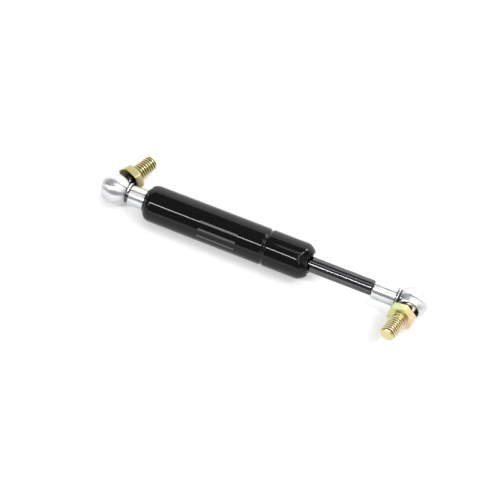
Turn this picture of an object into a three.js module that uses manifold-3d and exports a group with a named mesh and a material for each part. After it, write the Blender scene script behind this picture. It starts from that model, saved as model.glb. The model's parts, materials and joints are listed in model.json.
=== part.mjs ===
// Gas strut stay: a gas-charged cylinder and rod with a ball joint at each end.
// Millimetres, +Z up. The strut lies along X, base end at low X, with its fittings
// at the angles they take when it is laid down. The origin is the bottom centre of its box.

import * as THREE from 'three';
import { mergeVertices } from 'three/addons/utils/BufferGeometryUtils.js';
import Module from 'manifold-3d';

const wasm = await Module();
wasm.setup();

// ---- driving dimensions ----
const ballSpacing = 158.5;       // between the ball centres, rod fully out
const tubeRadius = 9.5;
const tubeWall = 1.5;
const rodRadius = 4;
const ballRadius = 5;
const headRadius = 8;            // round head of a ball socket
const neckRadius = 5.1;
const neckLength = 20;           // ball centre to the end face of a socket
const shankThread = 3;           // M6 joint between a socket and the rod or plug
const studThread = 3.97;         // 5/16-18 mounting thread
const hexAcrossFlats = 12.7;

// stations along X, measured from the base ball centre
const tubeStart = 16.6;
const tubeEnd = 106;
const beadAt = 81.65;
const pistonFront = 79.9;

// how the two ends lie: roll of the socket about the strut, lean of the stud towards the neck
const baseRoll = -12;
const baseLean = 20;
const baseHexTurn = -8;
const rodRoll = -18;
const rodLean = 9.5;
const rodHexTurn = 38;

const fitGap = 0.2;              // between pieces that sit in each other
const threadGap = 0.3;
const tubeSides = 32;
const shaftSides = 24;
const studSides = 20;
const boreBottom = 9.5;          // ball centre to the bottom of a socket's thread bore
const domeRadius = 4.2;          // rolled-in tube ends
const mouthOpening = 5.45;       // radius left open by a rolled end
const tubeBore = tubeRadius - tubeWall;

const degrees = THREE.MathUtils.degToRad;

// ---- solids ----

function solidOf(geometry) {
  const bare = geometry.clone();
  bare.deleteAttribute('normal');
  bare.deleteAttribute('uv');
  const merged = mergeVertices(bare, 1e-4);
  const corners = [];
  for (let i = 0; i < merged.index.count; i += 3) {
    const [a, b, c] = [0, 1, 2].map((k) => merged.index.getX(i + k));
    if (a !== b && b !== c && c !== a) corners.push(a, b, c);
  }
  const build = (triVerts) => new wasm.Manifold(new wasm.Mesh({
    numProp: 3,
    vertProperties: Float32Array.from(merged.attributes.position.array),
    triVerts: Uint32Array.from(triVerts),
  }));
  const solid = build(corners);
  return solid.volume() > 0 ? solid : build(corners.reverse());
}

function geometryOf(solid) {
  const { vertProperties, triVerts } = solid.getMesh();
  const geometry = new THREE.BufferGeometry();
  geometry.setAttribute('position', new THREE.BufferAttribute(vertProperties, 3));
  geometry.setIndex(new THREE.BufferAttribute(triVerts, 1));
  geometry.computeVertexNormals();
  return geometry;
}

// points of an arc in the [radius, height] plane, angles in degrees from the radius direction
function arc(radiusAt, heightAt, size, from, to, steps) {
  const points = [];
  for (let i = 0; i <= steps; i += 1) {
    const angle = degrees(from + ((to - from) * i) / steps);
    points.push([radiusAt + size * Math.cos(angle), heightAt + size * Math.sin(angle)]);
  }
  return points;
}

// a piece turned about Y from [radius, height] points; a closed outline repeats its first point
function turnedUp(outline, sides, closed = false, phase = 0) {
  const points = outline.map(([radius, height]) => new THREE.Vector2(Math.max(radius, 0), height));
  if (closed) points.push(points[0].clone());
  return new THREE.LatheGeometry(points, sides, phase, 2 * Math.PI);
}

// the same, turned about the strut's X axis: the outline's heights are stations along X
function turnedAlong(outline, sides, closed = false, phase = 0) {
  return turnedUp(outline, sides, closed, phase).rotateZ(-Math.PI / 2);
}

// a plain ring along X
function collar(innerRadius, outerRadius, from, to, sides = shaftSides) {
  const outline = [[innerRadius, from], [outerRadius, from], [outerRadius, to], [innerRadius, to]];
  return turnedAlong(outline, sides, true);
}

// ---- cylinder ----

// bead rolled into the wall: how far the surface dips at a distance from its middle
const beadDepth = 0.6;
const beadHalfWidth = 1.4;
function beadLine(radius) {
  return [-1, -0.5, 0, 0.5, 1].map((step) => {
    const dip = (beadDepth * (1 + Math.cos(Math.PI * step))) / 2;
    return [radius - dip, beadAt + step * beadHalfWidth];
  });
}

function cylinderTube() {
  const domeAt = tubeRadius - domeRadius;
  const innerDome = domeRadius - tubeWall;
  const baseDomeAt = tubeStart + domeRadius;
  const rodDomeAt = tubeEnd - domeRadius;
  const lip = Math.asin((mouthOpening - domeAt) / domeRadius) * THREE.MathUtils.RAD2DEG;
  const innerLip = Math.asin((mouthOpening - domeAt) / innerDome) * THREE.MathUtils.RAD2DEG;
  const outline = [
    ...arc(domeAt, baseDomeAt, domeRadius, -90 + lip, 0, 5),
    ...beadLine(tubeRadius),
    ...arc(domeAt, rodDomeAt, domeRadius, 0, 90 - lip, 5),
    ...arc(domeAt, rodDomeAt, innerDome, 90 - innerLip, 0, 3),
    ...beadLine(tubeBore).reverse(),
    ...arc(domeAt, baseDomeAt, innerDome, 0, -90 + innerLip, 3),
  ];
  // flats of the many-sided tube touch the true round, and one of them faces down
  const grow = 1 / Math.cos(Math.PI / tubeSides);
  const grown = outline.map(([radius, station]) => [radius * grow, station]);
  return turnedAlong(grown, tubeSides, true, Math.PI / tubeSides);
}

const plugFace = neckLength + fitGap;
const plugEnd = 31;
const plugGroove = { from: 24.4, to: 27.4, radius: 6.1 };
const plugRadius = tubeBore - fitGap;

function basePlug() {
  const studTip = boreBottom + 1;
  const outline = [
    [0, studTip], [shankThread - 0.7, studTip], [shankThread, studTip + 0.7],
    [shankThread, plugFace], [plugRadius - 0.5, plugFace], [plugRadius, plugFace + 0.9],
    [plugRadius, plugGroove.from], [plugGroove.radius, plugGroove.from],
    [plugGroove.radius, plugGroove.to], [plugRadius, plugGroove.to],
    [plugRadius, plugEnd - 0.8], [plugRadius - 0.8, plugEnd], [0, plugEnd],
  ];
  return turnedAlong(outline, shaftSides);
}

// round-section rubber ring squeezed between two radii
function sealRing(innerRadius, outerRadius, middle, width) {
  const outline = [];
  const corners = 8;
  for (let i = 0; i < corners; i += 1) {
    const angle = (2 * Math.PI * i) / corners;
    const radius = (innerRadius + outerRadius) / 2 + ((outerRadius - innerRadius) / 2) * Math.cos(angle);
    outline.push([radius, middle + (width / 2) * Math.sin(angle)]);
  }
  return turnedAlong(outline, shaftSides, true);
}

function basePlugSeal() {
  const middle = (plugGroove.from + plugGroove.to) / 2;
  return sealRing(plugGroove.radius + 0.1, tubeBore - 0.1, middle, 2);
}

// the packing behind the bead, from the gas side outwards
const washerFrom = 83.35;
const sealFrom = 84.85;
const guideFrom = 91.6;
const bushFrom = 92.4;
const bushTo = 102.2;
const bushRadius = 5;
const noseTo = tubeEnd - 0.8;

function sealSupportWasher() {
  return collar(rodRadius + 0.3, plugRadius, washerFrom, sealFrom - 0.25);
}

function rodSeal() {
  const outline = [
    [4.15, 91.3], [4.15, 86.6], [4.4, 85.1], [4.9, 85.2], [5.6, 88.2],
    [6.3, 88.2], [7.0, sealFrom], [7.6, sealFrom], [plugRadius, 86], [plugRadius, 91.3],
  ];
  return turnedAlong(outline, shaftSides, true);
}

function rodGuide() {
  const dome = domeRadius - tubeWall - fitGap;
  const domeAt = tubeRadius - domeRadius;
  const outline = [
    [bushRadius + fitGap, guideFrom], [plugRadius, guideFrom],
    ...arc(domeAt, tubeEnd - domeRadius, dome, 0, 90, 4),
    [domeAt - 0.1, noseTo], [rodRadius + 0.5, noseTo],
    [rodRadius + 0.5, bushTo + fitGap], [bushRadius + fitGap, bushTo + fitGap],
  ];
  return turnedAlong(outline, shaftSides, true);
}

function guideBush() {
  return collar(rodRadius + 0.08, bushRadius, bushFrom, bushTo);
}

// ---- rod and piston ----

const washerThickness = 1.1;
const pistonThickness = 5.6;
const stackGap = 0.2;
const frontWasherAt = pistonFront - stackGap - washerThickness;
const pistonAt = frontWasherAt - stackGap - pistonThickness;
const backWasherAt = pistonAt - stackGap - washerThickness;
const rivetAt = backWasherAt - stackGap - 1.4;
const tenonHole = shankThread + fitGap;
const pistonGroove = { from: pistonAt + 1.7, to: pistonAt + 4.1, radius: 6.1 };

function pistonRod() {
  const shoulder = ballSpacing - neckLength - fitGap;
  const threadTip = ballSpacing - boreBottom - 1;
  const outline = [
    [0, rivetAt], [2.6, rivetAt], [3.9, rivetAt + 0.7], [3.9, rivetAt + 1.4],
    [shankThread, rivetAt + 1.4], [shankThread, pistonFront], [rodRadius, pistonFront],
    [rodRadius, shoulder - 0.4], [rodRadius - 0.4, shoulder], [shankThread, shoulder],
    [shankThread, threadTip - 0.7], [shankThread - 0.7, threadTip], [0, threadTip],
  ];
  return turnedAlong(outline, shaftSides);
}

function pistonFrontWasher() {
  return collar(tenonHole, 7, frontWasherAt, frontWasherAt + washerThickness);
}

function pistonBackWasher() {
  return collar(tenonHole, 6.8, backWasherAt, backWasherAt + washerThickness);
}

// the piston has a groove for its ring and three small holes that meter the gas
function piston() {
  const radius = tubeBore - 0.4;
  const outline = [
    [tenonHole, pistonAt], [radius, pistonAt], [radius, pistonGroove.from],
    [pistonGroove.radius, pistonGroove.from], [pistonGroove.radius, pistonGroove.to],
    [radius, pistonGroove.to], [radius, pistonAt + pistonThickness],
    [tenonHole, pistonAt + pistonThickness],
  ];
  let solid = solidOf(turnedAlong(outline, shaftSides, true));
  for (let i = 0; i < 3; i += 1) {
    const hole = new THREE.CylinderGeometry(0.5, 0.5, pistonThickness + 2, 8);
    hole.rotateZ(Math.PI / 2).translate(pistonAt + pistonThickness / 2, 0, 4.8);
    solid = solid.subtract(solidOf(hole.rotateX(degrees(120 * i))));
  }
  return geometryOf(solid);
}

function pistonRing() {
  return collar(pistonGroove.radius + 0.2, tubeBore - 0.08, pistonGroove.from + 0.2, pistonGroove.to - 0.2);
}

// ---- ball joint at each end ----
// local frame: ball centre at the origin, neck along +X, mouth of the socket facing +Y

const mouthHeight = 5.4;                                   // flat rim of the socket's mouth
const snapRing = { radius: 5.2, height: 2.1, wire: 0.35 };
const clipWire = 0.55;
const clipLeg = { x: 5.2, y: 3.9, reach: 5.3 };            // wire crossing beside the ball's shoulder
const clipGroove = { middle: 7, halfWidth: 0.85, radius: 4.5 };

function ballSocket() {
  const headEnd = Math.sqrt(headRadius ** 2 - neckRadius ** 2);
  const headAngle = Math.atan2(headEnd, neckRadius) * THREE.MathUtils.RAD2DEG;
  const body = solidOf(turnedAlong([
    ...arc(0, 0, headRadius, -90, headAngle, 12),
    [neckRadius, neckLength - 0.6], [neckRadius - 0.6, neckLength],
    [shankThread + threadGap, neckLength], [shankThread + threadGap, boreBottom],
    [0, boreBottom - 1.5],
  ], shaftSides));

  const groove = solidOf(turnedAlong([
    [clipGroove.radius, clipGroove.middle - clipGroove.halfWidth],
    [headRadius, clipGroove.middle - clipGroove.halfWidth],
    [headRadius, clipGroove.middle + clipGroove.halfWidth],
    [clipGroove.radius, clipGroove.middle + clipGroove.halfWidth],
  ], shaftSides, true));

  const cavityRadius = ballRadius + 0.3;
  const rimRadius = 5.2;
  const ringPocket = snapRing.wire + 0.3;
  const cavity = solidOf(turnedUp([
    ...arc(0, 0, cavityRadius, -90, 0, 6),
    [cavityRadius, snapRing.height - ringPocket],
    [snapRing.radius + ringPocket, snapRing.height - ringPocket],
    [snapRing.radius + ringPocket, snapRing.height + ringPocket],
    [rimRadius, snapRing.height + ringPocket], [rimRadius, mouthHeight],
    [headRadius + 1, mouthHeight], [headRadius + 1, headRadius + 1], [0, headRadius + 1],
  ], shaftSides));

  const legHole = new THREE.CylinderGeometry(0.9, 0.9, 3 * headRadius, 10);
  legHole.rotateX(Math.PI / 2).translate(clipLeg.x, clipLeg.y, 0);
  return geometryOf(body.subtract(groove).subtract(cavity).subtract(solidOf(legHole)));
}

// round spring-wire ring that holds the ball in the mouth, with its gap away from the neck
function ballSnapRing() {
  const ring = solidOf(turnedUp([
    ...arc(snapRing.radius, snapRing.height, snapRing.wire, 0, 300, 5),
  ], shaftSides, true));
  const gap = new THREE.BoxGeometry(3, 3, 2).translate(-snapRing.radius, snapRing.height, 0);
  return geometryOf(ring.subtract(solidOf(gap)));
}

const hexFrom = 8.5;
const hexThickness = 4.4;
const hexTo = hexFrom + hexThickness;
const studTip = hexTo + 12.7;
const studNeck = 2.7;
const studRoot = 3.5;            // shank between the hexagon and the thread
const studFoot = 4.3;            // where the shank flares out of the hexagon, wider than the thread

function ballStud(hexTurn) {
  const corner = hexAcrossFlats / Math.sqrt(3);
  const neckAngle = Math.acos(studNeck / ballRadius) * THREE.MathUtils.RAD2DEG;
  const shaft = solidOf(turnedUp([
    [0, -4.85], ...arc(0, 0, ballRadius, -75, neckAngle, 9),
    [studNeck, hexFrom - 1.1], [studRoot, hexFrom + 0.5],
    [studFoot, hexTo - 0.2], [studRoot, hexTo + 0.6],
    [studRoot, hexTo + 0.7], [studThread, hexTo + 1.2],
    [studThread, studTip - 0.9], [studThread - 0.9, studTip], [0, studTip],
  ], studSides));

  const hexagon = new THREE.CylinderGeometry(corner, corner, hexThickness, 6);
  hexagon.translate(0, (hexFrom + hexTo) / 2, 0).rotateY(degrees(90 - hexTurn));
  // the corners are chamfered at 30 degrees down to a round seat face on the thread side
  const seatRadius = hexAcrossFlats / 2 - 0.15;
  const chamferRise = 3;
  const chamfer = turnedUp([
    [0, hexFrom - 1], [seatRadius + chamferRise, hexFrom - 1],
    [seatRadius + chamferRise, hexTo - chamferRise * Math.tan(degrees(30))],
    [seatRadius, hexTo], [0, hexTo],
  ], 2 * studSides);
  return geometryOf(shaft.add(solidOf(hexagon).intersect(solidOf(chamfer))));
}

// safety clip: a straight leg through the head, a tight turn, then a hook over the neck
// on the mouth side; the hook's free end lies beside the neck
function safetyClip() {
  const { x, y, reach } = clipLeg;
  const plane = clipGroove.middle;
  const bend = (plane - x) / 2;
  const route = [
    [x, y, reach], [x, y, reach / 2], [x, y, 0], [x, y, -reach / 2], [x, y, -reach],
    [x + 0.25 * bend, y, -reach - 0.7 * bend], [x + bend, y + 0.05, -reach - bend],
    [plane - 0.25 * bend, y + 0.1, -reach - 0.7 * bend], [plane, y + 0.2, -reach],
    [plane, 4.8, -3], [plane, 5.35, 0], [plane, 4.6, 3.1], [plane, 2.6, 5.1],
    [plane, 0.3, 5.8], [plane, -1.5, 5.85], [plane, -3, 5.8],
  ].map(([px, py, pz]) => new THREE.Vector3(px, py, pz));
  const section = new THREE.Shape();
  for (let i = 0; i < 6; i += 1) {
    const angle = (Math.PI * i) / 3;
    const [u, v] = [clipWire * Math.cos(angle), clipWire * Math.sin(angle)];
    if (i === 0) section.moveTo(u, v);
    else section.lineTo(u, v);
  }
  section.closePath();
  const wire = new THREE.ExtrudeGeometry(section, {
    steps: 40, bevelEnabled: false, extrudePath: new THREE.CatmullRomCurve3(route, false, 'centripetal'),
  });
  return geometryOf(solidOf(wire));
}

// ---- materials ----

function finish(color, roughness, metalness) {
  return () => new THREE.MeshStandardMaterial({ color, roughness, metalness });
}
const blackPaint = finish(0x0c0c0d, 0.2, 0.1);
const zincPlate = finish(0xd8dadd, 0.18, 1);
const nitridedSteel = finish(0x2a2a2c, 0.3, 0.9);
const yellowZinc = finish(0xc9b25a, 0.28, 1);
const springSteel = finish(0x8d9094, 0.3, 1);
const bareSteel = finish(0xa9abae, 0.4, 1);
const bronze = finish(0xb08d4c, 0.4, 1);
const rubber = finish(0x141414, 0.8, 0);

// ---- assembly ----

function piece(name, geometry, material) {
  const mesh = new THREE.Mesh(geometry, material());
  mesh.name = name;
  return mesh;
}

// one end: everything hung on a ball centre, with the stud leaning towards the neck
function ballJoint(end, lean, hexTurn) {
  const joint = new THREE.Group();
  joint.add(
    piece(`${end}_ball_socket`, ballSocket(), zincPlate),
    piece(`${end}_snap_ring`, ballSnapRing(), springSteel),
    piece(`${end}_safety_clip`, safetyClip(), springSteel),
  );
  const stud = piece(`${end}_ball_stud`, ballStud(hexTurn), yellowZinc);
  stud.rotation.z = -degrees(lean);
  joint.add(stud);
  return joint;
}

const strut = new THREE.Group();
strut.add(
  piece('cylinder_tube', cylinderTube(), blackPaint),
  piece('base_plug', basePlug(), bareSteel),
  piece('base_plug_seal', basePlugSeal(), rubber),
  piece('seal_support_washer', sealSupportWasher(), bareSteel),
  piece('rod_seal', rodSeal(), rubber),
  piece('rod_guide', rodGuide(), bareSteel),
  piece('guide_bush', guideBush(), bronze),
  piece('piston_rod', pistonRod(), nitridedSteel),
  piece('piston_front_washer', pistonFrontWasher(), bareSteel),
  piece('piston', piston(), bareSteel),
  piece('piston_ring', pistonRing(), rubber),
  piece('piston_back_washer', pistonBackWasher(), bareSteel),
);

const baseJoint = ballJoint('base', baseLean, baseHexTurn);
baseJoint.rotation.x = degrees(baseRoll);

const rodJoint = ballJoint('rod', rodLean, rodHexTurn);
rodJoint.rotation.z = Math.PI;
const rodEnd = new THREE.Group();
rodEnd.add(rodJoint);
rodEnd.rotation.x = degrees(rodRoll);
rodEnd.position.x = ballSpacing;
strut.add(baseJoint, rodEnd);

// set the origin at the bottom centre of the whole
strut.updateMatrixWorld(true);
const box = new THREE.Box3().setFromObject(strut, true);
const middle = box.getCenter(new THREE.Vector3());
strut.position.set(-middle.x, -middle.y, -box.min.z);

const part = new THREE.Group();
part.add(strut);

export default part;
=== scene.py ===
"""Gas strut stay lying on a white table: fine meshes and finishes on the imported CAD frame."""

import json
import math

import bmesh
import bpy
from mathutils import Matrix, Vector


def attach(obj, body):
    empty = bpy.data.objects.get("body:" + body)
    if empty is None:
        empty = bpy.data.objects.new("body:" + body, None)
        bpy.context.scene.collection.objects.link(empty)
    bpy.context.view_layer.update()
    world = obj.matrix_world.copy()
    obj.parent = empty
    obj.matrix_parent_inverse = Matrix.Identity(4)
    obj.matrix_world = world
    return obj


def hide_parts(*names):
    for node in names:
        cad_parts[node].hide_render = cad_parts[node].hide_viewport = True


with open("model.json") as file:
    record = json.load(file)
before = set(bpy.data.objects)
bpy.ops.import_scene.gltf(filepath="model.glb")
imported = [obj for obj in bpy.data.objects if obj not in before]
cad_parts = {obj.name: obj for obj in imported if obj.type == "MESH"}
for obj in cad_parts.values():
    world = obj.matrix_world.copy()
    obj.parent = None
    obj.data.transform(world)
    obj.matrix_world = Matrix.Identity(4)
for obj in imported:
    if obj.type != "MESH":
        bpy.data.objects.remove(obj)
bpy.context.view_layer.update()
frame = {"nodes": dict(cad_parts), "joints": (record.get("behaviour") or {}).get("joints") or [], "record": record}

MM = 0.001
MICRON = 0.000001
joints = {joint["name"]: joint for joint in frame["joints"]}
record = frame["record"]
mounts = {mount["name"]: mount for mount in record["mounts"]}
stud_axes = {
    end: (Vector(joints[f"{end}_stud_swivel"]["pos_m"]), Vector(mounts[f"{end}_stud_seat"]["axis"]))
    for end in ("base", "rod")
}

# ---- dimensions in millimetres, the same as the CAD model's ----

TUBE_RADIUS = 9.5
TUBE_WALL = 1.5
ROD_RADIUS = 4.0
BALL_RADIUS = 5.0
HEAD_RADIUS = 8.0
NECK_RADIUS = 5.1
NECK_LENGTH = 20.0
BALL_SPACING = 158.5

# ball joints: the socket's mouth and clip groove, the stud's hexagon and thread. The mouth's edge is
# the distance from the ball's centre to just inside it. The chamfer on the stud's tip is a little
# larger than the CAD model's, which keeps the round tip inside the CAD model's flat sides.
MOUTH_HEIGHT = 5.4
MOUTH_EDGE = 7.4
GROOVE_MIDDLE, GROOVE_HALF_WIDTH, GROOVE_RADIUS = 7.0, 0.85, 4.5
HEX_FROM, HEX_TO = 8.5, 12.9
HEX_INRADIUS = 6.35
STUD_TIP = 25.6
TIP_CHAMFER = 0.94
THREAD_RADIUS = 3.97
THREAD_PITCH = 25.4 / 18

# places along the strut, from the base ball centre
TUBE_START = 16.6
TUBE_END = 106.0
BEAD_AT = 81.65
PISTON_FRONT = 79.9

base_centre = Vector(joints["base_stud_swivel"]["pos_m"])
STRUT_PLACE = Matrix.Translation(base_centre) @ Matrix.Scale(MM, 4)


# ---- mesh code ----

FINE_SIDES = 128
TUBE_SIDES = 192
SHARP_ANGLE = 40

# the eased end of a wire: distances in from its tip and shares of its radius, in wire radii
WIRE_END = ((0.0, 0.7), (0.1, 0.88), (0.3, 1.0))


def share_between(value, start, end):
    """How far a value has come from start to end, from 0 to 1."""
    return min(max((value - start) / (end - start), 0), 1)


def arc(radius_at, height_at, size, start, end, steps):
    """Points of an arc in the (radius, height) plane, angles in degrees from the radius direction."""
    angles = [math.radians(start + (end - start) * i / steps) for i in range(steps + 1)]
    return [(radius_at + size * math.cos(a), height_at + size * math.sin(a)) for a in angles]


def eased(corners, steps=4, closed=False):
    """An outline from (radius, height, easing) corners, each corner rounded off over its easing."""
    points = []
    count = len(corners)
    for i, (radius, height, easing) in enumerate(corners):
        here = Vector((radius, height))
        if easing == 0 or (not closed and i in (0, count - 1)):
            points.append((radius, height))
            continue
        before = Vector(corners[i - 1][:2]) - here
        after = Vector(corners[(i + 1) % count][:2]) - here
        start = here + before.normalized() * easing
        end = here + after.normalized() * easing
        for step in range(steps + 1):
            t = step / steps
            point = start * (1 - t) ** 2 + here * 2 * t * (1 - t) + end * t**2
            points.append(tuple(point))
    return points


def skin(rows, closed=False):
    """A surface through rings of points. A ring of one point closes an end."""
    bm = bmesh.new()
    made = [[bm.verts.new(point) for point in row] for row in rows]
    following = made[1:] + made[:1] if closed else made[1:]
    for low, high in zip(made, following):
        count = max(len(low), len(high))
        for i in range(count):
            j = (i + 1) % count
            corners = [low[i], low[j]] if len(low) > 1 else [low[0]]
            corners += [high[j], high[i]] if len(high) > 1 else [high[0]]
            bm.faces.new(corners)
    return bm


def turned(outline, axis="X", sides=FINE_SIDES, closed=False):
    """A piece turned about the X or Y axis from (radius, height) points."""
    angles = [2 * math.pi * i / sides for i in range(sides)]
    rows = []
    for radius, height in outline:
        ring = angles if radius > 1e-6 else [0]
        if axis == "X":
            rows.append([(height, radius * math.cos(a), radius * math.sin(a)) for a in ring])
        else:
            rows.append([(radius * math.cos(a), height, radius * math.sin(a)) for a in ring])
    return skin(rows, closed)


def swept(route, radius, sides=16):
    """A round wire along a route of points, with eased ends."""
    count = len(route)
    tangents = []
    for i in range(count):
        ahead, behind = route[min(i + 1, count - 1)], route[max(i - 1, 0)]
        tangents.append((ahead - behind).normalized())
    across = tangents[0].orthogonal().normalized()
    rows = []
    for i, (point, tangent) in enumerate(zip(route, tangents)):
        if i:
            across = tangents[i - 1].rotation_difference(tangent) @ across
        other = tangent.cross(across)
        rings = [(0, 1)]
        if i == 0:
            rings = WIRE_END
        elif i == count - 1:
            rings = [(-inward, share) for inward, share in reversed(WIRE_END)]
        for along, share in rings:
            middle = point + tangent * along * radius
            turns = [2 * math.pi * k / sides for k in range(sides)]
            rows.append([
                middle + (across * math.cos(a) + other * math.sin(a)) * radius * share for a in turns
            ])
    return skin([[route[0]], *rows, [route[-1]]])


def smooth_route(points, steps):
    """A centripetal Catmull-Rom curve through the points."""
    ends = [points[0] * 2 - points[1], *points, points[-1] * 2 - points[-2]]
    route = []
    for i in range(1, len(ends) - 2):
        p0, p1, p2, p3 = ends[i - 1 : i + 3]
        t1 = (p1 - p0).length ** 0.5
        t2 = t1 + (p2 - p1).length ** 0.5
        t3 = t2 + (p3 - p2).length ** 0.5
        for step in range(steps):
            t = t1 + (t2 - t1) * step / steps
            a1 = p0 * (t1 - t) / t1 + p1 * t / t1
            a2 = p1 * (t2 - t) / (t2 - t1) + p2 * (t - t1) / (t2 - t1)
            a3 = p2 * (t3 - t) / (t3 - t2) + p3 * (t - t2) / (t3 - t2)
            b1 = a1 * (t2 - t) / t2 + a2 * t / t2
            b2 = a2 * (t3 - t) / (t3 - t1) + a3 * (t - t1) / (t3 - t1)
            route.append(b1 * (t2 - t) / (t2 - t1) + b2 * (t - t1) / (t2 - t1))
    return [*route, points[-1]]


def object_of(name, bm):
    """An object in the scene from a bmesh, which is freed. A closed one's faces look outward."""
    bmesh.ops.recalc_face_normals(bm, faces=bm.faces)
    if bm.calc_volume(signed=True) < 0:
        bmesh.ops.reverse_faces(bm, faces=bm.faces)
    mesh = bpy.data.meshes.new(name)
    bm.to_mesh(mesh)
    bm.free()
    made = bpy.data.objects.new(name, mesh)
    bpy.context.scene.collection.objects.link(made)
    return made


def carve(body, cutters):
    """Takes the cutters' solids out of body, for good."""
    tools = [object_of(f"cutter_{i}", bm) for i, bm in enumerate(cutters)]
    for tool in tools:
        step = body.modifiers.new("carve", "BOOLEAN")
        step.operation = "DIFFERENCE"
        step.solver = "MANIFOLD"
        step.object = tool
    bpy.context.view_layer.update()
    graph = bpy.context.evaluated_depsgraph_get()
    shape = bpy.data.meshes.new_from_object(body.evaluated_get(graph))
    body.modifiers.clear()
    body.data = shape
    for tool in tools:
        bpy.data.objects.remove(tool)


def finish_piece(piece, place, body, slot, node):
    """Puts a fine piece in a CAD node's place, with its finish, and hangs it on its body."""
    piece.data.transform(place)
    piece.data.shade_smooth()
    piece.data.set_sharp_from_angle(angle=math.radians(SHARP_ANGLE))
    weighted = piece.modifiers.new("even_normals", "WEIGHTED_NORMAL")
    weighted.keep_sharp = True
    piece.data.materials.clear()
    piece.data.materials.append(finishes[slot])
    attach(piece, body)
    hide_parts(node)


# ---- finishes ----


def put(tree, socket, value):
    """Links a socket to another socket, or sets it to a plain value."""
    if isinstance(value, bpy.types.NodeSocket):
        tree.links.new(value, socket)
    else:
        socket.default_value = value


def calc(tree, operation, *values):
    """A Math node over the values."""
    node = tree.nodes.new("ShaderNodeMath")
    node.operation = operation
    for socket, value in zip(node.inputs, values):
        put(tree, socket, value)
    return node.outputs[0]


def product(tree, *values):
    """The values multiplied together."""
    total = values[0]
    for value in values[1:]:
        total = calc(tree, "MULTIPLY", total, value)
    return total


def near(tree, value, middle, reach):
    """1 where a value is within reach of the middle, 0 elsewhere."""
    return calc(tree, "LESS_THAN", calc(tree, "ABSOLUTE", calc(tree, "SUBTRACT", value, middle)), reach)


def vector_calc(tree, operation, output, *values):
    """A Vector Math node over the values."""
    node = tree.nodes.new("ShaderNodeVectorMath")
    node.operation = operation
    for socket, value in zip(node.inputs, values):
        put(tree, socket, value)
    return node.outputs[output]


def parts_of(tree, vector):
    """A vector's X, Y and Z."""
    node = tree.nodes.new("ShaderNodeSeparateXYZ")
    put(tree, node.inputs["Vector"], vector)
    return node.outputs


def rest_place(tree):
    """The point being shaded, in the row frame at rest, in metres."""
    return tree.nodes.new("ShaderNodeTexCoord").outputs["Object"]


def cloud(tree, scale, detail=3.0, stretch=(1, 1, 1)):
    """Noise over the rest place. Scale is in blots per metre, times the stretch along each axis."""
    mapping = tree.nodes.new("ShaderNodeMapping")
    mapping.inputs["Scale"].default_value = stretch
    put(tree, mapping.inputs["Vector"], rest_place(tree))
    noise = tree.nodes.new("ShaderNodeTexNoise")
    put(tree, noise.inputs["Vector"], mapping.outputs["Vector"])
    noise.inputs["Scale"].default_value = scale
    noise.inputs["Detail"].default_value = detail
    return noise.outputs["Fac"]


def spread(tree, value, low, high, start=0.3, end=0.7):
    """Maps a value from start..end to low..high, clamped."""
    node = tree.nodes.new("ShaderNodeMapRange")
    for name, number in (("From Min", start), ("From Max", end), ("To Min", low), ("To Max", high)):
        node.inputs[name].default_value = number
    put(tree, node.inputs["Value"], value)
    return node.outputs["Result"]


def ramp(tree, value, stops):
    """A colour ramp from (position, colour) stops."""
    node = tree.nodes.new("ShaderNodeValToRGB")
    elements = node.color_ramp.elements
    while len(elements) < len(stops):
        elements.new(0.5)
    for element, (position, colour) in zip(elements, stops):
        element.position = position
        element.color = (*colour, 1)
    put(tree, node.inputs["Fac"], value)
    return node.outputs["Color"]


def blend_colours(tree, factor, first, second):
    """A mix of two colours."""
    node = tree.nodes.new("ShaderNodeMix")
    node.data_type = "RGBA"
    put(tree, node.inputs["Factor"], factor)
    for name, value in (("A", first), ("B", second)):
        socket = next(s for s in node.inputs if s.name == name and s.type == "RGBA")
        put(tree, socket, value if isinstance(value, bpy.types.NodeSocket) else (*value, 1))
    return next(s for s in node.outputs if s.type == "RGBA")


def relief(tree, height, microns):
    """A bump that is so many microns deep where the height goes from 0 to 1."""
    node = tree.nodes.new("ShaderNodeBump")
    node.inputs["Strength"].default_value = 1.0
    node.inputs["Distance"].default_value = microns * MICRON
    put(tree, node.inputs["Height"], height)
    return node.outputs["Normal"]


def start_finish(name, **sockets):
    """A new material with its shader's uniform sockets set."""
    material = bpy.data.materials.new(name)
    material.use_nodes = True
    tree = material.node_tree
    shader = tree.nodes["Principled BSDF"]
    for socket, value in sockets.items():
        shader.inputs[socket.replace("_", " ")].default_value = value
    return material, tree, shader


def cover(tree, shader, tone, stops, gloss, roughness, grain, microns):
    """Colour, roughness and bump over three noises. Tone, gloss and grain are arguments for cloud."""
    put(tree, shader.inputs["Base Color"], ramp(tree, cloud(tree, *tone), stops))
    put(tree, shader.inputs["Roughness"], spread(tree, cloud(tree, *gloss), *roughness))
    put(tree, shader.inputs["Normal"], relief(tree, cloud(tree, *grain), microns))


def along_strut(tree):
    """The strut's direction, along which turning marks spread a reflection."""
    node = tree.nodes.new("ShaderNodeCombineXYZ")
    node.inputs["X"].default_value = 1.0
    return node.outputs["Vector"]


def strut_place(tree):
    """Millimetres along the strut from the base ball, towards the front and up, from its axis."""
    from_ball = vector_calc(tree, "SUBTRACT", "Vector", rest_place(tree), base_centre)
    along, back, up = (calc(tree, "DIVIDE", part, MM) for part in parts_of(tree, from_ball))
    return along, calc(tree, "MULTIPLY", back, -1), up


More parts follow.
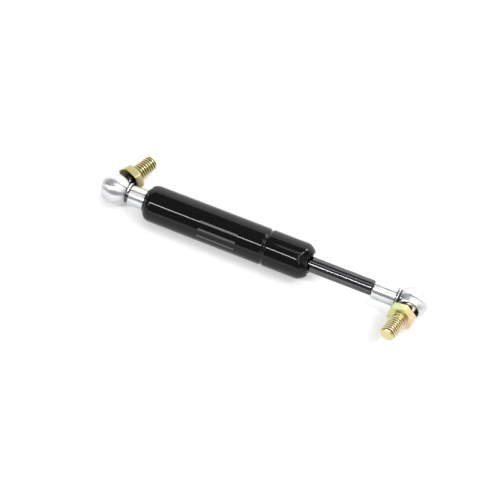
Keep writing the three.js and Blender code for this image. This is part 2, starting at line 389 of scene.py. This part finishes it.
def stud_place(tree):
    """Millimetres up a stud's axis from its ball centre, out from that axis, and from it along X."""
    at_rod = calc(tree, "GREATER_THAN", parts_of(tree, rest_place(tree))["X"], 0)
    chosen = []
    for base_value, rod_value in zip(stud_axes["base"], stud_axes["rod"]):
        change = vector_calc(tree, "MULTIPLY", "Vector", at_rod, rod_value - base_value)
        chosen.append(vector_calc(tree, "ADD", "Vector", base_value, change))
    centre, axis = chosen
    offset = vector_calc(tree, "SUBTRACT", "Vector", rest_place(tree), centre)
    height = vector_calc(tree, "DOT_PRODUCT", "Value", offset, axis)
    out = vector_calc(tree, "CROSS_PRODUCT", "Vector", offset, axis)
    radius = vector_calc(tree, "LENGTH", "Value", out)
    on_axis = product(tree, height, parts_of(tree, axis)["X"])
    side = calc(tree, "SUBTRACT", parts_of(tree, offset)["X"], on_axis)
    return tuple(calc(tree, "DIVIDE", value, MM) for value in (height, radius, side))


def black_paint():
    """High-gloss black paint with faint orange peel, and three plain bars in place of print."""
    material, tree, shader = start_finish("black_paint", IOR=1.3)
    along, front, up = strut_place(tree)
    # the bars run along the strut: the angles are in degrees round it, from its top to the front
    first_angle, bars, pitch, bar_share = 21.0, 3, 24.0, 0.26
    middle, half_length = 57.5, 10.0
    bar_colour, bar_roughness = (0.07, 0.07, 0.072), 0.3
    angle = calc(tree, "MULTIPLY", calc(tree, "ARCTAN2", front, up), math.degrees(1))
    row = calc(tree, "DIVIDE", calc(tree, "SUBTRACT", angle, first_angle), pitch)
    in_bar = calc(tree, "LESS_THAN", calc(tree, "FRACT", row), bar_share)
    in_rows = near(tree, row, bars / 2, bars / 2)
    marks = product(tree, in_bar, in_rows, near(tree, along, middle, half_length))
    stops = [(0.35, (0.0016, 0.0016, 0.0018)), (0.7, (0.0026, 0.0026, 0.0027))]
    paint = ramp(tree, cloud(tree, 900), stops)
    gloss = spread(tree, cloud(tree, 420, 4), 0.045, 0.085)
    put(tree, shader.inputs["Base Color"], blend_colours(tree, marks, paint, bar_colour))
    put(tree, shader.inputs["Roughness"], calc(tree, "MULTIPLY_ADD", marks, bar_roughness, gloss))
    put(tree, shader.inputs["Normal"], relief(tree, cloud(tree, 380, 2), microns=12))
    return material


def zinc_plate():
    """Bright zinc plate with a faint cloudiness and turning marks, and painted shade in the mouths and grooves."""
    material, tree, shader = start_finish("zinc_plate", Metallic=1.0, Anisotropic=0.9)
    put(tree, shader.inputs["Tangent"], along_strut(tree))
    along, front, up = strut_place(tree)

    # the same measures at both ends: inward from the nearer ball, out from the axis and from that ball
    middle = BALL_SPACING / 2
    from_middle = calc(tree, "ABSOLUTE", calc(tree, "SUBTRACT", along, middle))
    inward = calc(tree, "SUBTRACT", middle, from_middle)
    across = calc(tree, "ADD", product(tree, front, front), product(tree, up, up))
    from_axis = calc(tree, "SQRT", across)
    from_ball = calc(tree, "SQRT", calc(tree, "ADD", across, product(tree, inward, inward)))

    # painted shade darkens the socket's mouth and the floor of the clip groove; it fades out just inside the
    # mouth's edge and just below the neck's surface
    mouth_fade, full_depth, no_depth, groove_flare = 0.3, 0.2, 0.05, 0.3
    mouth_shade = spread(tree, from_ball, 1, 0, MOUTH_EDGE - mouth_fade, MOUTH_EDGE)
    groove_floor_shade = spread(tree, from_axis, 1, 0, NECK_RADIUS - full_depth, NECK_RADIUS - no_depth)
    at_groove = near(tree, inward, GROOVE_MIDDLE, GROOVE_HALF_WIDTH + groove_flare)
    painted_recess_shade = calc(tree, "MAXIMUM", mouth_shade, product(tree, at_groove, groove_floor_shade))
    stops = [(0.3, (0.52, 0.53, 0.545)), (0.55, (0.59, 0.6, 0.61)), (0.75, (0.63, 0.635, 0.64))]
    # colour of the painted shade in the mouth and the groove
    recess_shade_colour = (0.1, 0.097, 0.092)
    clean = ramp(tree, cloud(tree, 260, 4), stops)
    put(tree, shader.inputs["Base Color"], blend_colours(tree, painted_recess_shade, clean, recess_shade_colour))
    put(tree, shader.inputs["Roughness"], spread(tree, cloud(tree, 700, 5), 0.3, 0.4))

    # turning marks all over, and a head that was cast uneven under its plating
    unevenness, head_end, neck_from = 9.0, 4.0, 6.0
    cast = product(tree, cloud(tree, 330, 1), spread(tree, inward, unevenness, 0, head_end, neck_from))
    marks = calc(tree, "ADD", cloud(tree, 90, 2, (60, 1, 1)), cast)
    put(tree, shader.inputs["Normal"], relief(tree, marks, microns=6))
    return material


def yellow_zinc():
    """Yellow chromate on zinc, pale gold drifting to green and rose, with painted shade under the hexagon and in
    the thread's roots and a painted highlight on the crests.
    """
    material, tree, shader = start_finish("yellow_zinc", Metallic=1.0)
    stops = [
        (0.32, (0.45, 0.50, 0.24)), (0.44, (0.52, 0.52, 0.23)), (0.52, (0.57, 0.52, 0.24)),
        (0.60, (0.58, 0.49, 0.27)), (0.68, (0.57, 0.41, 0.26)),
    ]
    # the rubbed ball's colour, also painted on the thread's crests as a highlight, then the colours of the painted
    # shade in the thread's roots and under the hexagon
    wear_and_highlight_colour, root_shade_colour, hexagon_shade_colour = (0.82, 0.74, 0.62), (0.11, 0.08, 0.03), (0.05, 0.045, 0.022)
    height, radius, side = stud_place(tree)
    side_drift = 0.02
    drift = calc(tree, "MULTIPLY_ADD", side, side_drift, cloud(tree, 170, 3))

    # painted shade lies under the hexagon, darkest round the neck
    neck_from, neck_to, hexagon_shade_full, hexagon_shade_end = 4.2, 4.5, 5.8, 7.1
    off_ball = spread(tree, height, 0, 1, neck_from, neck_to)
    under_hexagon = spread(tree, height, 1, 0, HEX_FROM, HEX_FROM + 0.12)
    hexagon_shade = product(tree, off_ball, under_hexagon, spread(tree, radius, 1, 0, hexagon_shade_full, hexagon_shade_end))

    # painted shade darkens the thread's roots and a painted highlight lightens its crests, and the ball is rubbed
    # all over
    root_shade, crest_highlight, ball_wear = 0.85, 0.45, 0.85
    root_full, root_end, crest_start, crest_full = 3.3, 3.75, 3.8, 3.93
    above_hexagon = spread(tree, height, 0, 1, HEX_TO + 0.5, HEX_TO + 1.5)
    threaded = product(tree, above_hexagon, spread(tree, height, 1, 0, STUD_TIP - 1, STUD_TIP - 0.4))
    in_root = product(tree, threaded, spread(tree, radius, root_shade, 0, root_full, root_end))
    on_crest = product(tree, threaded, spread(tree, radius, 0, crest_highlight, crest_start, crest_full))
    wear_and_crest_highlight = calc(tree, "MAXIMUM", on_crest, calc(tree, "MULTIPLY_ADD", off_ball, -ball_wear, ball_wear))

    # the rubbed ball and the painted highlight on the thread's crests
    clean = blend_colours(tree, wear_and_crest_highlight, ramp(tree, drift, stops), wear_and_highlight_colour)
    root_shaded = blend_colours(tree, in_root, clean, root_shade_colour)
    put(tree, shader.inputs["Base Color"], blend_colours(tree, hexagon_shade, root_shaded, hexagon_shade_colour))
    put(tree, shader.inputs["Roughness"], spread(tree, cloud(tree, 800, 4), 0.3, 0.42))
    put(tree, shader.inputs["Normal"], relief(tree, cloud(tree, 1500, 3), microns=8))
    return material


def nitrided_steel():
    """Polished dark nitrided steel, slightly mottled."""
    material, tree, shader = start_finish("nitrided_steel", Metallic=1.0, Anisotropic=0.5)
    put(tree, shader.inputs["Tangent"], along_strut(tree))
    cover(
        tree, shader, tone=(500, 4, (0.25, 1, 1)), gloss=(900, 4), roughness=(0.08, 0.13),
        stops=[(0.3, (0.07, 0.07, 0.073)), (0.7, (0.1, 0.1, 0.103))], grain=(90, 2, (70, 1, 1)), microns=1.5,
    )
    return material


def spring_steel():
    """Bright drawn spring wire."""
    material, tree, shader = start_finish("spring_steel", Metallic=1.0)
    cover(
        tree, shader, tone=(700, 4), stops=[(0.3, (0.38, 0.39, 0.40)), (0.7, (0.52, 0.53, 0.54))],
        gloss=(1200, 3), roughness=(0.16, 0.3), grain=(2500, 2), microns=6,
    )
    return material


def turned_metal(name, dark, light, roughest):
    """Machined metal with turning marks around the strut's axis."""
    material, tree, shader = start_finish(name, Metallic=1.0)
    cover(
        tree, shader, tone=(600, 4), stops=[(0.3, dark), (0.7, light)],
        gloss=(900, 4), roughness=(roughest - 0.15, roughest), grain=(80, 2, (60, 1, 1)), microns=10,
    )
    return material


def rubber():
    """Black nitrile rubber with a fine matt grain."""
    material, tree, shader = start_finish("rubber", Specular_IOR_Level=0.35, Sheen_Weight=0.1)
    cover(
        tree, shader, tone=(1500, 3), stops=[(0.3, (0.012, 0.012, 0.012)), (0.7, (0.022, 0.022, 0.022))],
        gloss=(1800, 3), roughness=(0.55, 0.75), grain=(4000, 2), microns=10,
    )
    return material


finishes = {
    "black_paint": black_paint(),
    "zinc_plate": zinc_plate(),
    "nitrided_steel": nitrided_steel(),
    "yellow_zinc": yellow_zinc(),
    "spring_steel": spring_steel(),
    "bare_steel": turned_metal("bare_steel", (0.48, 0.49, 0.50), (0.60, 0.61, 0.62), 0.4),
    "bronze": turned_metal("bronze", (0.50, 0.33, 0.15), (0.66, 0.46, 0.23), 0.45),
    "rubber": rubber(),
}

for part in record["subparts"]:
    carried = frame["nodes"][part["node"]]
    carried.data.materials.clear()
    carried.data.materials.append(finishes[part["material_slot"]])


# ---- cylinder ----

BEAD_DEPTH = 0.6
BEAD_HALF_WIDTH = 1.4
DOME_RADIUS = 4.2
TUBE_MOUTH = 5.45

# dents in the crimp: their number, the first one's place in degrees from the back over the top, how
# narrow they are, the distances from the tube's end where they start and are full, the radii between
# which they come to press inwards, and how far a dent's middle goes back to the base and in to the rod
DENTS = 3
DENT_TURN = 106
DENT_NARROWNESS = 3
DENT_START, DENT_FULL = 8.0, 1.5
DENT_INNER, DENT_OUTER = 5.5, 7.0
DENT_BACK, DENT_IN = 1.6, 0.8


def bead_line(radius, steps=20):
    """The rolled bead's dip in a wall of that radius."""
    points = []
    for i in range(steps + 1):
        step = 2 * i / steps - 1
        dip = BEAD_DEPTH * (1 + math.cos(math.pi * step)) / 2
        points.append((radius - dip, BEAD_AT + step * BEAD_HALF_WIDTH))
    return points


def dented(point):
    """A point of the tube after its crimp is pressed in at the dents."""
    around = math.atan2(point.z, point.y) - math.radians(DENT_TURN)
    radius = math.hypot(point.y, point.z)
    near_dent = (0.5 + 0.5 * math.cos(DENTS * around)) ** DENT_NARROWNESS
    near_end = share_between(point.x, TUBE_END - DENT_START, TUBE_END - DENT_FULL)
    depth = near_dent * near_end * near_end * (3 - 2 * near_end)
    pressed = (radius - depth * DENT_IN * share_between(radius, DENT_INNER, DENT_OUTER)) / radius
    return Vector((point.x - depth * DENT_BACK, point.y * pressed, point.z * pressed))


def make_tube():
    """Painted tube: a lip round the base neck, the seal's bead, and a crimp folded in at the rod end."""
    lip = 0.33
    mouth_slack = 0.25
    dome_at = TUBE_RADIUS - DOME_RADIUS
    inner = DOME_RADIUS - TUBE_WALL
    inner_slant = math.degrees(math.asin((TUBE_MOUTH + mouth_slack - dome_at) / inner))
    # corners as (radius, place along the strut, easing)
    base_end = eased([
        (TUBE_MOUTH + 2.4 * lip, TUBE_START + 0.3, 0), (7.9, TUBE_START + 0.85, 1.1),
        (TUBE_RADIUS, TUBE_START + 2.9, 1.6), (TUBE_RADIUS, TUBE_START + 6, 0),
    ], 8)
    crimp = eased([
        (TUBE_RADIUS, TUBE_END - 9, 0), (TUBE_RADIUS, TUBE_END - 4.5, 1.0), (8.4, TUBE_END - 2.3, 0.9),
        (6.9, TUBE_END - 0.6, 0.9), (6.15, TUBE_END - 0.5, 0.35), (5.6, TUBE_END - 1.4, 0.3),
        (TUBE_MOUTH, TUBE_END - 1.6, 0),
    ], 6)
    outline = [
        *arc(TUBE_MOUTH + lip, TUBE_START - 0.1, lip, 180, 350, 12),
        *base_end, *bead_line(TUBE_RADIUS), *crimp,
        *arc(dome_at, TUBE_END - DOME_RADIUS, inner, 90 - inner_slant, 0, 8)[1:],
        *bead_line(TUBE_RADIUS - TUBE_WALL)[::-1],
        *arc(dome_at, TUBE_START + DOME_RADIUS, inner, 0, inner_slant - 90, 8),
        (TUBE_MOUTH, TUBE_START + TUBE_WALL - 0.1),
    ]
    bm = turned(outline, sides=TUBE_SIDES, closed=True)
    for vert in bm.verts:
        vert.co = dented(vert.co)
    finish_piece(object_of("tube", bm), STRUT_PLACE, "cylinder", "black_paint", "cylinder_tube")


def make_guide():
    """Rod guide, whose nose shows in the tube's mouth behind the dents."""
    back, bush_end, nose = 91.6, 102.4, TUBE_END - 3.3
    plug, bush, rod_hole = TUBE_RADIUS - TUBE_WALL - 0.2, 5.2, ROD_RADIUS + 0.5
    outline = eased([
        (bush, back, 0), (plug, back, 0.2), (plug, nose - 3.0, 0.3), (7.3, nose - 1.8, 0.3),
        (6.2, nose - 0.5, 0.2), (5.6, nose, 0.15), (rod_hole + 0.2, nose, 0.05),
        (rod_hole, nose - 0.2, 0.05), (rod_hole, bush_end, 0), (bush, bush_end, 0),
    ])
    guide = object_of("rod_guide_fine", turned(outline, closed=True))
    finish_piece(guide, STRUT_PLACE, "cylinder", "bare_steel", "rod_guide")


def make_rod():
    """Piston rod with its riveted tail and its screwed end."""
    rivet, rivet_thickness, rivet_radius, shank = 69.8, 1.4, 3.9, 3.0
    shoulder = BALL_SPACING - NECK_LENGTH - 0.2
    thread_tip = BALL_SPACING - 10.5
    chamfer = 0.4
    corners = [
        (0, rivet, 0), (2.6, rivet, 0.2), (rivet_radius, rivet + rivet_thickness / 2, 0.2),
        (rivet_radius, rivet + rivet_thickness, 0.1), (shank, rivet + rivet_thickness, 0.05),
        (shank, PISTON_FRONT, 0.05), (ROD_RADIUS, PISTON_FRONT, 0.15),
        (ROD_RADIUS, shoulder - chamfer, 0.1), (ROD_RADIUS - chamfer, shoulder, 0.1), (shank, shoulder, 0.05),
        (shank, thread_tip - 0.7, 0.1), (shank - 0.7, thread_tip, 0.1), (0, thread_tip, 0),
    ]
    rod = object_of("rod", turned(eased(corners)))
    finish_piece(rod, STRUT_PLACE, "rod", "nitrided_steel", "piston_rod")


# ---- ball joints ----
# Local frame: ball centre at the origin, neck along +X, mouth of the socket facing +Y.

SNAP_RADIUS, SNAP_HEIGHT, SNAP_WIRE = 5.2, 2.1, 0.35
CLIP_WIRE = 0.55
CLIP_LEG_X, CLIP_LEG_Y, CLIP_REACH = 5.2, 3.9, 5.3
HEX_CORNER = 28.3  # degrees from the middle of a side at which its corner is taken off
THREAD_ROOT = THREAD_RADIUS - 0.613 * THREAD_PITCH
SHANK_RADIUS = 3.5
SHANK_LENGTH = 0.7


def joint_place(end):
    """Matrix from a ball joint's local frame in millimetres to the row frame."""
    swivel, tilt = joints[f"{end}_stud_swivel"], joints[f"{end}_stud_tilt"]
    mouth, side = Vector(swivel["axis"]), Vector(tilt["axis"])
    turn = Matrix((mouth.cross(side), mouth, side)).transposed().to_4x4()
    return Matrix.Translation(swivel["pos_m"]) @ turn @ Matrix.Scale(MM, 4)


def make_socket(end, body):
    """Ball socket: round head with its mouth, clip groove, neck and thread bore."""
    bore, bore_bottom, drill_tip = 3.3, 9.5, 8.0
    head_end = math.degrees(math.atan2(math.sqrt(HEAD_RADIUS**2 - NECK_RADIUS**2), NECK_RADIUS))
    outline = [
        *arc(0, 0, HEAD_RADIUS, -90, head_end, 56),
        *eased([
            (NECK_RADIUS, 7, 0), (NECK_RADIUS, NECK_LENGTH - 0.6, 0.15),
            (NECK_RADIUS - 0.6, NECK_LENGTH, 0.15), (bore + 0.4, NECK_LENGTH, 0.1),
            (bore, NECK_LENGTH - 0.5, 0.1), (bore, bore_bottom, 0),
        ]),
        (0, drill_tip),
    ]
    socket = object_of(f"{end}_socket", turned(outline))

    low, high = GROOVE_MIDDLE - GROOVE_HALF_WIDTH, GROOVE_MIDDLE + GROOVE_HALF_WIDTH
    flare, above_neck = 0.18, NECK_RADIUS + 0.05
    groove = turned(eased([
        (HEAD_RADIUS, low - flare * 8, 0), (above_neck, low - flare, 0.1),
        (NECK_RADIUS - flare, low, 0.1), (GROOVE_RADIUS, low, 0.15), (GROOVE_RADIUS, high, 0.15),
        (NECK_RADIUS - flare, high, 0.1), (above_neck, high + flare, 0.1),
        (HEAD_RADIUS, high + flare * 8, 0),
    ], closed=True), closed=True)

    cavity, throat = BALL_RADIUS + 0.3, 5.2
    pocket = SNAP_WIRE + 0.3
    rim_step = 0.13
    clear = HEAD_RADIUS + 1
    mouth = turned([
        *arc(0, 0, cavity, -90, 0, 24),
        (cavity, SNAP_HEIGHT - pocket), (SNAP_RADIUS + pocket, SNAP_HEIGHT - pocket),
        (SNAP_RADIUS + pocket, SNAP_HEIGHT + pocket), (throat, SNAP_HEIGHT + pocket),
        *eased([
            (throat, 4.6, 0), (throat, MOUTH_HEIGHT - 0.15, 0.06), (throat + 0.15, MOUTH_HEIGHT, 0.06),
            (5.72, MOUTH_HEIGHT, 0.08), (5.98, MOUTH_HEIGHT - rim_step, 0.05),
            (clear, MOUTH_HEIGHT - rim_step, 0),
        ]),
        (clear, clear), (0, clear),
    ], axis="Y")

    leg_hole, depth = 0.9, 12
    hole = turned([(0, -depth), (leg_hole, -depth), (leg_hole, depth), (0, depth)], sides=32)
    hole.transform(Matrix.Rotation(math.radians(90), 4, "Y"))
    hole.transform(Matrix.Translation((CLIP_LEG_X, CLIP_LEG_Y, 0)))
    carve(socket, [groove, mouth, hole])
    finish_piece(socket, joint_place(end), body, "zinc_plate", f"{end}_ball_socket")


def make_snap_ring(end, body):
    """Open ring of spring wire that holds the ball in the mouth."""
    half_opening, steps = 1.5, 96
    gap = math.degrees(math.asin(half_opening / SNAP_RADIUS))
    angles = [math.radians(180 + gap + (360 - 2 * gap) * i / steps) for i in range(steps + 1)]
    route = [Vector((SNAP_RADIUS * math.cos(a), SNAP_HEIGHT, SNAP_RADIUS * math.sin(a))) for a in angles]
    ring = object_of(f"{end}_snap_wire", swept(route, SNAP_WIRE, 12))
    finish_piece(ring, joint_place(end), body, "spring_steel", f"{end}_snap_ring")


def make_clip(end, body):
    """Safety clip: a leg through the head, a tight turn, then a hook over the neck."""
    x, y, reach, plane = CLIP_LEG_X, CLIP_LEG_Y, CLIP_REACH, GROOVE_MIDDLE
    bend = (plane - x) / 2
    stations = [
        (x, y, reach), (x, y, reach / 2), (x, y, 0), (x, y, -reach / 2), (x, y, -reach),
        (x + 0.25 * bend, y, -reach - 0.7 * bend), (x + bend, y + 0.05, -reach - bend),
        (plane - 0.25 * bend, y + 0.1, -reach - 0.7 * bend), (plane, y + 0.2, -reach),
        (plane, 4.8, -3), (plane, 5.35, 0), (plane, 4.6, 3.1), (plane, 2.6, 5.1),
        (plane, 0.3, 5.8), (plane, -1.5, 5.85), (plane, -3, 5.8),
    ]
    route = smooth_route([Vector(p) for p in stations], 8)
    clip = object_of(f"{end}_clip_wire", swept(route, CLIP_WIRE))
    finish_piece(clip, joint_place(end), body, "spring_steel", f"{end}_safety_clip")


def stud_angles(turn):
    """Angles round the stud in radians, with one at each hexagon corner and one close to each side."""
    beside = (-HEX_CORNER, -24, -19, -13, -7, 0, 7, 13, 19, 24, HEX_CORNER, 30)
    return [math.radians(turn + 30 + 60 * face + step) for face in range(6) for step in beside]


def hex_radius(angle, turn):
    """Distance from the axis to the hexagon's side, with its corners just taken off."""
    from_face = (math.degrees(angle) - turn) % 60 - 30
    corner = HEX_INRADIUS / math.cos(math.radians(HEX_CORNER))
    return min(HEX_INRADIUS / math.cos(math.radians(from_face)), corner)


def thread_sheet(angles):
    """Rows of (radius, height) by angle for a right-hand thread that fades out of the shank."""
    start = HEX_TO + SHANK_LENGTH
    # the thread's form, as shares of the pitch: where its root ends and its crest begins
    root_end, crest_start = 0.07, 0.4375
    rising = (0, root_end, 0.16, 0.25, 0.34, crest_start, 0.5)
    phases = (*rising, *(1 - phase for phase in rising[-2:0:-1]))
    fade_in = 1.2 * THREAD_PITCH
    turns = math.ceil((STUD_TIP - start) / THREAD_PITCH) + 1
    rows = []
    for turn in range(turns):
        for phase in phases:
            rise = share_between(min(phase, 1 - phase), root_end, crest_start)
            row = []
            for angle in angles:
                height = start + THREAD_PITCH * (turn + phase - (angle - angles[0]) / (2 * math.pi))
                height = min(max(height, start), STUD_TIP)
                threaded = THREAD_ROOT + (THREAD_RADIUS - THREAD_ROOT) * rise
                fade = share_between(height, start, start + fade_in)
                radius = SHANK_RADIUS + (threaded - SHANK_RADIUS) * fade
                row.append((min(radius, THREAD_RADIUS - TIP_CHAMFER + STUD_TIP - height), height))
            rows.append(row)
    return rows


def make_stud(end, body, turn):
    """Ball stud: ball, neck, chamfered hexagon and rolled thread, in one closed skin."""
    neck, ball_bottom = 2.7, -4.85
    ease, chamfer_angle = 0.14, 30
    angles = stud_angles(turn)
    angles.append(angles[0] + 2 * math.pi)
    from_angle = math.degrees(math.asin(ball_bottom / BALL_RADIUS))
    to_angle = math.degrees(math.acos(neck / BALL_RADIUS))
    below = [
        *arc(0, 0, BALL_RADIUS, from_angle, to_angle, 30),
        *eased([(neck, 4.6, 0), (neck, 7.4, 0.7), (3.25, HEX_FROM, 0)], 6),
    ]
    sides = [hex_radius(angle, turn) for angle in angles]
    seat = HEX_INRADIUS - 0.15
    slope = math.tan(math.radians(chamfer_angle))
    above = [(seat, HEX_TO), *eased([
        (4.4, HEX_TO, 0), (SHANK_RADIUS, HEX_TO, 0.5), (SHANK_RADIUS, HEX_TO + SHANK_LENGTH, 0),
    ], 5)]
    rows = [[point] * len(angles) for point in below]
    rows.append([(side - ease, HEX_FROM) for side in sides])
    rows.append([(side - ease * 0.3, HEX_FROM + ease * 0.3) for side in sides])
    rows.append([(side, HEX_FROM + ease) for side in sides])
    rows.append([(side, HEX_TO - (side - seat) * slope) for side in sides])
    rows += [[point] * len(angles) for point in above]
    rows += thread_sheet(angles)

    bm = bmesh.new()
    made = []
    for row in rows:
        points = [(r * math.cos(a), h, r * math.sin(a)) for (r, h), a in zip(row, angles)]
        made.append([bm.verts.new(point) for point in points])
    for low, high in zip(made, made[1:]):
        for i in range(len(angles) - 1):
            bm.faces.new((low[i], low[i + 1], high[i + 1], high[i]))
    for edge_row, height in ((made[0], ball_bottom), (made[-1], STUD_TIP)):
        centre = bm.verts.new((0, height, 0))
        for i in range(len(angles) - 1):
            bm.faces.new((edge_row[i], edge_row[i + 1], centre))
    # the first and last angle are the same place
    bmesh.ops.remove_doubles(bm, verts=bm.verts, dist=1e-4)

    stud = object_of(f"{end}_stud", bm)
    mouth = Vector(joints[f"{end}_stud_swivel"]["axis"])
    ball, axis = stud_axes[end]
    lean = mouth.rotation_difference(axis).to_matrix().to_4x4()
    to_ball = Matrix.Translation(ball)
    place = to_ball @ lean @ to_ball.inverted() @ joint_place(end)
    finish_piece(stud, place, body, "yellow_zinc", f"{end}_ball_stud")


make_tube()
make_guide()
make_rod()
for end, carrier, hex_turn in (("base", "cylinder", -8), ("rod", "rod", 38)):
    make_socket(end, carrier)
    make_snap_ring(end, f"{end}_ring")
    make_clip(end, f"{end}_clip")
    make_stud(end, f"{end}_stud", hex_turn)


# ---- table, light and camera ----


def make_floor():
    """White table top, far wider than any view."""
    reach, steps, gap = 4.0, 8, 0.02 * MM
    edges = [reach * (2 * i / steps - 1) for i in range(steps + 1)]
    bm = bmesh.new()
    grid = [[bm.verts.new((x, y, -gap)) for x in edges] for y in edges]
    for j in range(steps):
        for i in range(steps):
            bm.faces.new((grid[j][i], grid[j][i + 1], grid[j + 1][i + 1], grid[j + 1][i]))
    floor = object_of("floor", bm)
    material, tree, shader = start_finish("white_table", Roughness=0.9, Specular_IOR_Level=0.1)
    stops = [(0.3, (0.79, 0.79, 0.793)), (0.7, (0.81, 0.81, 0.813))]
    put(tree, shader.inputs["Base Color"], ramp(tree, cloud(tree, 3), stops))
    floor.data.materials.append(material)


def make_world():
    """Bright walls below a sloping edge, higher at the back than at the front, and dark above."""
    walls, ceiling, dim_right, dim_left = 2.1, 0.33, 0.3, 0.12
    slope, edge_from, edge_to = -0.24, 0.43, 0.475
    right_from, right_to, left_from, left_to = 0.62, 0.92, -0.9, -0.6
    world = bpy.data.worlds.new("studio")
    bpy.context.scene.world = world
    world.use_nodes = True
    tree = world.node_tree
    x, y, z = parts_of(tree, tree.nodes.new("ShaderNodeTexCoord").outputs["Generated"])
    edge = calc(tree, "MULTIPLY_ADD", y, slope, z)
    level = spread(tree, edge, walls, ceiling, edge_from, edge_to)
    right = spread(tree, x, 1.0, dim_right, right_from, right_to)
    left = spread(tree, x, dim_left, 1.0, left_from, left_to)
    put(tree, tree.nodes["Background"].inputs["Strength"], product(tree, level, right, left))
    tree.nodes["Background"].inputs["Color"].default_value = (1, 1, 1, 1)


def make_panel(name, centre, target, size, power):
    """A rectangular light. Size is its length along X and its width, in metres, and power is in watts."""
    light = bpy.data.lights.new(name, "AREA")
    light.shape = "RECTANGLE"
    light.size, light.size_y = size
    light.energy = power
    lamp = bpy.data.objects.new(name, light)
    bpy.context.scene.collection.objects.link(lamp)
    back = (Vector(centre) - Vector(target)).normalized()
    across = Vector((1, 0, 0))
    across = (across - back * across.dot(back)).normalized()
    lamp.matrix_world = Matrix((across, back.cross(across), back)).transposed().to_4x4()
    lamp.location = centre


def make_camera():
    """Camera at the photograph's viewing angle."""
    look_at = Vector((-4.59, -4.56, 9.5)) * MM
    azimuth, elevation, distance = math.radians(23.2), math.radians(64.55), 1.056
    back = Vector((
        math.sin(azimuth) * math.cos(elevation),
        -math.cos(azimuth) * math.cos(elevation),
        math.sin(elevation),
    ))
    camera = bpy.data.cameras.new("camera")
    camera.lens = 153.9
    camera.sensor_width = 36.0
    camera.clip_start, camera.clip_end = 0.01, 20.0
    holder = bpy.data.objects.new("camera", camera)
    bpy.context.scene.collection.objects.link(holder)
    holder.location = look_at + back * distance
    holder.rotation_mode = "QUATERNION"
    holder.rotation_quaternion = (-back).to_track_quat("-Z", "Y")
    bpy.context.scene.camera = holder


make_floor()
make_world()
# from above a broad light and a small one at the back, then one from each side for the heads, a small
# one for the glints at the rod end, and a strip for the thin line down the tube
make_panel("overhead_panel", (0.9, -0.31, 2.0), (0.9, -0.31, 0), (1.7, 1.98), 27)
make_panel("edge_panel", (-0.125, 0.36, 2.0), (-0.125, 0.36, 0), (0.35, 0.4), 1.1)
make_panel("side_panel", (-1.24, -0.96, 1.24), (0, 0, 0), (0.9, 0.7), 6)
make_panel("back_light", (0.64, 0.97, 0.92), (0, 0, 0), (0.36, 0.5), 12)
make_panel("glint_light", (0.95, 0.1, 1.4), (0, 0, 0), (0.1, 0.3), 5)
make_panel("strip_light", (-0.65, -0.73, 1.43), (-0.65, 0, 0), (1.2, 0.08), 14.4)
make_camera()
bpy.context.scene.view_settings.view_transform = "Standard"
